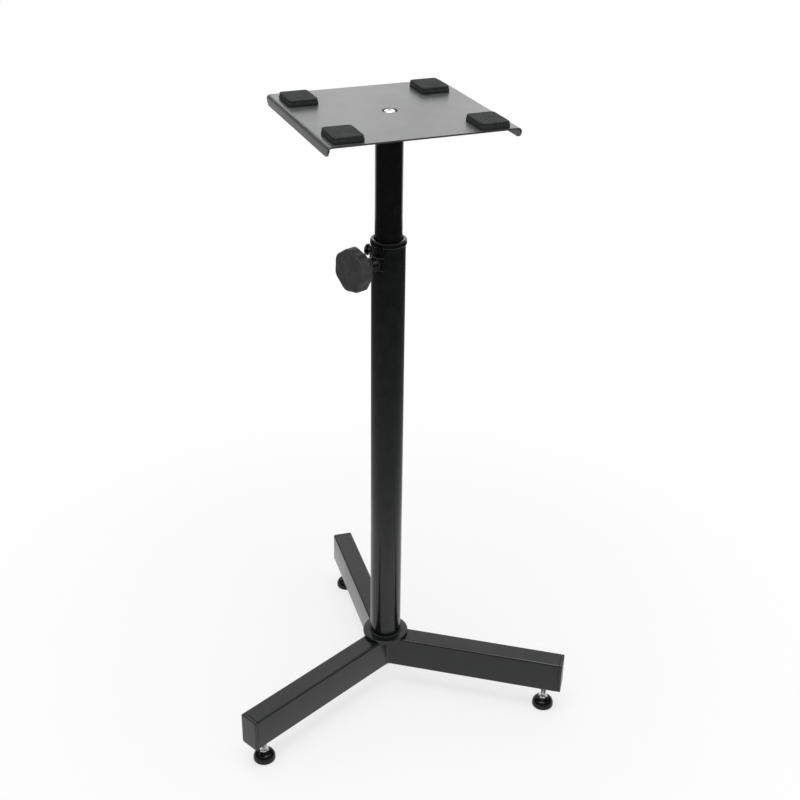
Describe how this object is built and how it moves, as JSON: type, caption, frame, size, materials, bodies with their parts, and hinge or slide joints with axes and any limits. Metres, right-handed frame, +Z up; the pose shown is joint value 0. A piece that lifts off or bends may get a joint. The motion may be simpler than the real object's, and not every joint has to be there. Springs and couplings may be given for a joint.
{
  "type": "speaker tripod stand",
  "caption": "Height-adjustable stand: tripod base with levelling feet, telescoping column with a lobed clamp knob, square platform with rubber pads.",
  "frame": {"origin": "centre of the footprint's bounding box, on the floor", "axes": "+Z up along the column, +Y along the rear leg, +X to the right of someone who stands in front between the two front legs"},
  "size_m": [0.4834, 0.419, 0.895],
  "materials": {
    "powder_coat": "smooth semi-gloss black powder coat",
    "gloss_coat": "gloss black coat",
    "cap_plastic": "fine-grained black moulded plastic",
    "knob_plastic": "matt black moulded plastic",
    "gloss_plastic": "polished black moulded plastic",
    "rubber": "matt dark grey rubber",
    "zinc_steel": "bright zinc plate",
    "brass": "plain turned brass"
  },
  "bodies": {
    "base": {"leg_rear": "powder_coat", "end_cap_rear": "cap_plastic", "foot_insert_rear": "zinc_steel", "leg_front_left": "powder_coat", "end_cap_front_left": "cap_plastic", "foot_insert_front_left": "zinc_steel", "leg_front_right": "powder_coat", "end_cap_front_right": "cap_plastic", "foot_insert_front_right": "zinc_steel", "hub_washer": "zinc_steel", "hub_bolt": "zinc_steel", "base_flange": "powder_coat", "column_plug": "zinc_steel", "column_tube": "powder_coat", "guide_bush": "gloss_plastic", "clamp_saddle": "powder_coat", "clamp_boss": "powder_coat", "steady_boss": "powder_coat", "steady_screw": "gloss_coat"},
    "mast_guide": {"mast_guide_ring": "cap_plastic"},
    "mast": {"mast_tube": "gloss_coat", "mast_plug": "zinc_steel", "platform": "gloss_coat", "platform_bolt": "zinc_steel", "rubber_pad_rear_left": "rubber", "rubber_pad_rear_right": "rubber", "rubber_pad_front_left": "rubber", "rubber_pad_front_right": "rubber"},
    "clamp_shoe": {"clamp_shoe": "brass"},
    "knob": {"clamp_screw": "zinc_steel", "clamp_knob": "knob_plastic"},
    "foot_pad_rear": {"foot_pad_rear": "gloss_plastic"},
    "foot_stud_rear": {"foot_stud_rear": "zinc_steel"},
    "foot_pad_front_left": {"foot_pad_front_left": "gloss_plastic"},
    "foot_stud_front_left": {"foot_stud_front_left": "zinc_steel"},
    "foot_pad_front_right": {"foot_pad_front_right": "gloss_plastic"},
    "foot_stud_front_right": {"foot_stud_front_right": "zinc_steel"}
  },
  "joints": [
    {"name": "height_slide", "type": "slide", "parent": "base", "child": "mast_guide", "axis": [0, 0, 1], "range_m": [-0.15, 0.32]},
    {"name": "mast_swivel", "type": "hinge", "parent": "mast_guide", "child": "mast", "pos_m": [0, -0.06147, 0.72], "axis": [0, 0, 1], "continuous": true},
    {"name": "clamp_travel", "type": "slide", "parent": "base", "child": "clamp_shoe", "axis": [-0.9018, -0.4321, 0], "range_m": [0, 0.003]},
    {"name": "knob_turn", "type": "hinge", "parent": "clamp_shoe", "child": "knob", "pos_m": [0, -0.06147, 0.6926], "axis": [-0.9018, -0.4321, 0], "range_deg": [0, 864]},
    {"name": "foot_rear_travel", "type": "slide", "parent": "base", "child": "foot_pad_rear", "axis": [0, 0, 1], "range_m": [-0.01, 0.01]},
    {"name": "foot_rear_turn", "type": "hinge", "parent": "foot_pad_rear", "child": "foot_stud_rear", "pos_m": [0, 0.18353, 0.02], "axis": [0, 0, 1], "range_deg": [-2880, 2880]},
    {"name": "foot_front_left_travel", "type": "slide", "parent": "base", "child": "foot_pad_front_left", "axis": [0, 0, 1], "range_m": [-0.01, 0.01]},
    {"name": "foot_front_left_turn", "type": "hinge", "parent": "foot_pad_front_left", "child": "foot_stud_front_left", "pos_m": [-0.21218, -0.18397, 0.02], "axis": [0, 0, 1], "range_deg": [-2880, 2880]},
    {"name": "foot_front_right_travel", "type": "slide", "parent": "base", "child": "foot_pad_front_right", "axis": [0, 0, 1], "range_m": [-0.01, 0.01]},
    {"name": "foot_front_right_turn", "type": "hinge", "parent": "foot_pad_front_right", "child": "foot_stud_front_right", "pos_m": [0.21218, -0.18397, 0.02], "axis": [0, 0, 1], "range_deg": [-2880, 2880]}
  ],
  "couplings": [
    {"joint": "clamp_travel", "follows": "knob_turn", "m_per_rad": 0.00019894},
    {"joint": "foot_rear_turn", "follows": "foot_rear_travel", "rad_per_m": 5026.5},
    {"joint": "foot_front_left_turn", "follows": "foot_front_left_travel", "rad_per_m": 5026.5},
    {"joint": "foot_front_right_turn", "follows": "foot_front_right_travel", "rad_per_m": 5026.5}
  ]
}
